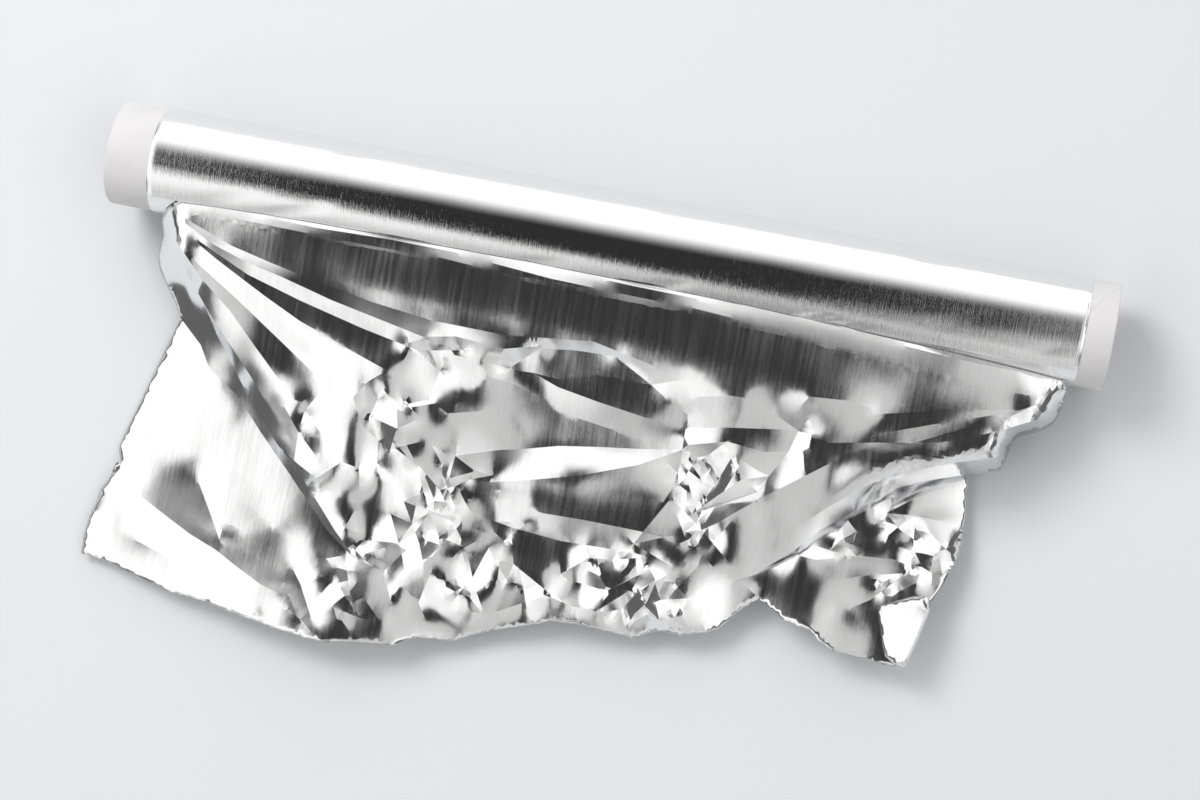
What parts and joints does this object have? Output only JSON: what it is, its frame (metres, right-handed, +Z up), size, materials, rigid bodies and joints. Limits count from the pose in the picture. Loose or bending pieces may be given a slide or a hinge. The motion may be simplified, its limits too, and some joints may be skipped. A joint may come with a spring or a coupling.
{
  "type": "aluminium foil roll",
  "caption": "Household aluminium foil on a white paper core, with a crumpled, pleated sheet let off from the roll's underside.",
  "frame": {"origin": "on the table, under the middle of the part's box: the roll's axis lies behind it, the sheet's cut edge in front", "axes": "+X along the roll's axis, the sheet let off towards -Y, +Z up"},
  "size_m": [0.302, 0.15, 0.0326],
  "materials": {
    "core_paper": "matt white paper",
    "bare_foil": "bright rolled foil with fine streaks, creased"
  },
  "bodies": {
    "root": {"core_tube": "core_paper", "foil": "bare_foil"}
  },
  "joints": []
}
